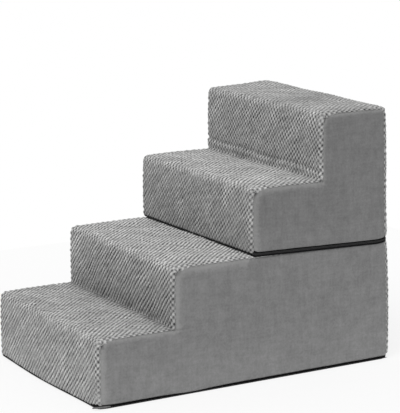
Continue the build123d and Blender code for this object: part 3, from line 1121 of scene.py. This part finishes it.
def side_velour():
    """Short smooth polyester velour, knitted: nearly plain, with a fine nap, faint wales, soft blotches where
    it was stroked, and a paler rim along the steps that is painted highlight, blotchy where worn."""
    wide_blotch, blotch, fleck, nap, worn_patch = 80.0 * mm, 22.0 * mm, 4.5 * mm, 0.9 * mm, 9.0 * mm
    wale, course = 5.0 * mm, 6.0 * mm
    material = bpy.data.materials.new("knitted_polyester_velour")
    node = node_maker(material)
    tone = 1.0
    for source, share in (
        (grain(node, wide_blotch, 3, 0.6), 0.30),
        (grain(node, blotch, 3, 0.6), 0.40),
        (grain(node, wale, 2, 0.5, (1.0, 0.12, 1.0)), 0.24),
        (grain(node, course, 2, 0.5, (1.0, 1.0, 0.12)), 0.24),
        (grain(node, fleck, 3, 0.7), 0.60),
    ):
        around_zero = node("Math", source, 0.5, operation="SUBTRACT")
        tone = node("Math", around_zero, share, tone, operation="MULTIPLY_ADD")
    # The tone attribute carries the panels' painted shade and light
    shade = node("Attribute", attribute_name="tone", out="Fac")
    tone = node("Math", tone, shade, **times)
    shades = {6: linear("#7e7e7e"), 7: tone}
    colour = node("Mix", 1.0, named=shades, blend_type="MULTIPLY", **colour_mix)
    # The rim is painted highlight where the rounded rim catches the light, blotchy where worn
    rim = node("Attribute", attribute_name="rim", out="Fac")
    worn = node("MapRange", grain(node, worn_patch, 3, 0.6), *noise_range, -0.35, 0.35)
    edge = node("Math", rim, 1.3, worn, operation="MULTIPLY_ADD", use_clamp=True)
    soft_rim = node("Math", rim, 0.4, operation="POWER")
    edge = node("Math", edge, soft_rim, **times)
    edge = node("Math", edge, 0.36, **times)
    colour = node("Mix", edge, named={6: colour, 7: linear("#a8a8a7")}, **colour_mix)
    relief = {"Height": grain(node, nap, 3, 0.65), "Strength": 0.3, "Distance": 0.25 * mm}
    finish = {"Roughness": 0.9, "Specular IOR Level": 0.25, "Sheen Weight": 0.15, "Sheen Roughness": 0.5}
    skin(node, colour, relief, finish)
    return material


def weave(name, colour, light, thread, roughness, depth, shine):
    """A plain weave of threads this wide: crossed waves, darker between the threads, and worn in patches."""
    worn_patch = 12.0 * mm
    material = bpy.data.materials.new(name)
    node = node_maker(material)
    place = node("TexCoord", out="Object")
    ways = []
    for axis in "XYZ":
        along = node("SeparateXYZ", place, out=axis)
        angle = node("Math", along, math.pi / thread, **times)
        ways.append(node("Math", angle, operation="SINE"))
    pair = node("Math", ways[0], ways[2], **plus)
    pair = node("Math", pair, ways[1], **times)
    worn = node("Math", grain(node, worn_patch, 3, 0.6), 0.5, **plus)
    share = node("Math", pair, 0.25, 0.3, operation="MULTIPLY_ADD")
    share = node("Math", share, worn, **times, use_clamp=True)
    mixed = node("Mix", share, named={6: linear(colour), 7: linear(light)}, **colour_mix)
    relief = {"Height": pair, "Strength": 0.5, "Distance": depth}
    skin(node, mixed, relief, {"Roughness": roughness, "Specular IOR Level": shine})
    return material


def grip_base():
    """Black woven base cloth with printed rubber dots."""
    name = "woven_grip_cloth_with_rubber_dots"
    return weave(name, "#101011", "#2b2b2c", thread=0.9 * mm, roughness=0.75, depth=0.2 * mm, shine=0.3)


def zip_tape():
    """Woven polyester zip tape: matt, very dark grey, with a fine herringbone that reads as plain threads."""
    name = "woven_polyester_zip_tape"
    return weave(name, "#0b0b0c", "#1d1d1e", thread=0.7 * mm, roughness=0.85, depth=0.15 * mm, shine=0.1)


def grainy(name, colour, light, size, roughness, bump, sheen=0.0, coat=0.0):
    """A surface with a fine grain: two tones mixed by noise, and the same noise as a slight relief."""
    material = bpy.data.materials.new(name)
    node = node_maker(material)
    noise = grain(node, size, 4, 0.6)
    share = node("MapRange", noise, *noise_range)
    mixed = node("Mix", share, named={6: linear(colour), 7: linear(light)}, **colour_mix)
    relief = {"Height": noise, "Strength": bump, "Distance": size * 0.4}
    skin(node, mixed, relief, {"Roughness": roughness, "Sheen Weight": sheen, "Coat Weight": coat})
    return material


def foam():
    """Polyurethane foam, sawn from a block: cream, matt, with open pores about a millimetre across."""
    return grainy("sawn_polyurethane_foam", "#d9d2bd", "#f1ecdc", size=1.2 * mm, roughness=0.95, bump=0.6)


def nylon_coil():
    """Nylon monofilament, dyed black and wound: smooth, with a soft shine along each turn."""
    return grainy("wound_nylon_monofilament", "#121213", "#1e1e1f", size=0.8 * mm, roughness=0.42, bump=0.05)


def enamelled_zinc():
    """Die-cast zinc with black enamel: a glossy dark skin, slightly orange-peeled, bare metal nowhere."""
    name = "black_enamelled_die_cast_zinc"
    return grainy(name, "#0f0f10", "#1b1b1c", size=0.6 * mm, roughness=0.3, bump=0.05, coat=0.4)


def loop_tape():
    """Knitted nylon loop tape: a dull black pile of tiny loops."""
    name = "knitted_nylon_loop_tape"
    return grainy(name, "#0d0d0e", "#262627", size=0.9 * mm, roughness=0.95, bump=0.7, sheen=0.3)


def hook_tape():
    """Moulded nylon hook tape: rows of stiff black hooks, shinier than the loops."""
    return grainy("moulded_nylon_hook_tape", "#0c0c0d", "#2a2a2b", size=1.4 * mm, roughness=0.5, bump=0.8)


def white_floor():
    """Matt white paper: it shows the object's soft shadow and otherwise meets the white background."""
    material = bpy.data.materials.new("matt_white_paper")
    node = node_maker(material)
    paper = node("BsdfDiffuse", linear("#fbfbfb"))
    glow = node("Emission", (1, 1, 1, 1), 1.0)
    share = node("LightPath", out="Is Camera Ray")
    share = node("Math", share, 0.72, **times)
    node("OutputMaterial", node("MixShader", share, paper, glow))
    return material


def floor():
    """A wide square of floor under the stairs."""
    reach = 1.2
    corners = [(-reach, -reach, 0), (reach, -reach, 0), (reach, reach, 0), (-reach, reach, 0)]
    mesh = bpy.data.meshes.new("studio_floor")
    mesh.from_pydata(corners, [], [(0, 1, 2, 3)])
    mesh.materials.append(white_floor())
    made = bpy.data.objects.new("studio_floor", mesh)
    bpy.context.scene.collection.objects.link(made)


def world():
    """Even white light all round, which the camera sees as plain white."""
    made = bpy.data.worlds.new("studio")
    node = node_maker(made)
    light = node("Background", (1, 1, 1, 1), 0.52)
    seen = node("Background", (1, 1, 1, 1), 1.0)
    share = node("LightPath", out="Is Camera Ray")
    node("OutputWorld", node("MixShader", share, light, seen))
    bpy.context.scene.world = made


def sun(name, direction, strength, width):
    """A soft distant lamp that shines from a direction, this many degrees wide."""
    lamp = bpy.data.lights.new(name, "SUN")
    lamp.energy = strength
    lamp.angle = math.radians(width)
    made = bpy.data.objects.new(name, lamp)
    made.rotation_mode = "QUATERNION"
    made.rotation_quaternion = Vector(direction).to_track_quat("Z", "Y")
    bpy.context.scene.collection.objects.link(made)


def camera():
    """The photograph's view: from the right of the front, a little above, with a long lens."""
    azimuth, elevation, roll = (math.radians(a) for a in (59.375, 11.567, -0.187))
    distance = 3.957
    aim = np.array([0.029, 0.0, 0.349])
    focal_pixels, long_side_pixels, sensor = 1804.0, 413.0, 36.0
    forward = np.array([
        -math.sin(azimuth) * math.cos(elevation),
        math.cos(azimuth) * math.cos(elevation),
        -math.sin(elevation),
    ])
    right = np.array([math.cos(azimuth), math.sin(azimuth), 0.0])
    up = np.cross(right, forward)
    matrix = np.eye(4)
    matrix[:3, 0] = math.cos(roll) * right + math.sin(roll) * up
    matrix[:3, 1] = -math.sin(roll) * right + math.cos(roll) * up
    matrix[:3, 2] = -forward
    matrix[:3, 3] = aim - forward * distance
    data = bpy.data.cameras.new("photo_camera")
    data.sensor_width = sensor
    data.lens = focal_pixels * sensor / long_side_pixels
    data.clip_start, data.clip_end = 0.05, 200.0
    made = bpy.data.objects.new("photo_camera", data)
    made.matrix_world = Matrix(matrix.tolist())
    bpy.context.scene.collection.objects.link(made)
    bpy.context.scene.camera = made


def dress(node, material):
    """Gives a frame node's object its material."""
    mesh = frame["nodes"][node].data
    mesh.materials.clear()
    mesh.materials.append(material)


plush, velour = bubble_plush(), side_velour()
base, tape, coil, metal = grip_base(), zip_tape(), nylon_coil(), enamelled_zinc()
soft, loops, hooks = foam(), loop_tape(), hook_tape()

side_panel(lower, 1, lower_right_hem, 0.0, velour)
side_panel(lower, -1, level_hem(lower), 0.0, velour)
side_panel(upper, 1, upper_right_hem, hem_flare, velour)
side_panel(upper, -1, level_hem(upper), 0.0, velour)
for section in (lower, upper):
    tread_strip(section, plush)
    zip_coil(section, coil)
    zip_lining(section, tape)
    base_binding(section, base)
    for word in ("base_foam", "tread_pad_front", "riser_foam", "tread_pad_rear"):
        dress(f"{section.name}_{word}", soft)
    dress(f"{section.name}_base_panel", base)
    for word in ("stops", "slider", "pull"):
        dress(f"{section.name}_zipper_{word}", metal)
corner_tab(lower, velour)
for edge in ("top", "base"):
    dress(f"lower_zipper_tape_{edge}", tape)
    hung_tape(upper, edge, tape)
dress("lower_loop_strips", loops)
dress("upper_hook_strips", hooks)

floor()
world()
sun("key_light", (0.45, -0.35, 1.0), 1.6, 50)
camera()
bpy.context.scene.view_settings.view_transform = "Standard"
